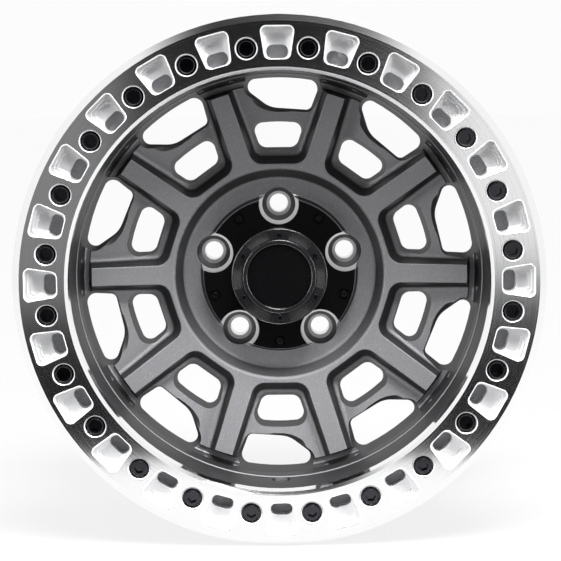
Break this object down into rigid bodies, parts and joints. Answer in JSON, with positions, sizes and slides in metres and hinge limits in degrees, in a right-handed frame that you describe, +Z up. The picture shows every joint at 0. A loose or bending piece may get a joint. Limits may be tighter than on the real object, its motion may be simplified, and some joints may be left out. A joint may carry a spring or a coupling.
{
  "type": "beadlock wheel",
  "caption": "Cast alloy off-road wheel with deep-set spokes, windowed webs, a bolted outer bead clamp ring with milled pockets and a plain black hub cap.",
  "frame": {"origin": "centre of the hub bore on the rear mounting pad", "axes": "+Y along the spin axis towards the vehicle, so the show face looks along -Y; +Z up with one lug hole at the top"},
  "size_m": [0.471, 0.2546, 0.471],
  "materials": {
    "gunmetal_paint": "matte powder coat",
    "machined_aluminium": "machined",
    "black_steel": "black oxide",
    "plain_steel": "plain",
    "black_plastic": "satin",
    "black_gloss": "gloss"
  },
  "bodies": {
    "root": {"wheel_body": "gunmetal_paint", "beadlock_ring": "machined_aluminium", "ring_bolts": "black_steel", "ring_washers": "black_steel", "thread_inserts": "plain_steel", "cap_base": "black_plastic", "cap_base_screws": "black_steel", "cap_bezel": "black_plastic", "cap_bezel_screws": "black_steel", "cap_disc": "black_gloss"}
  },
  "joints": []
}
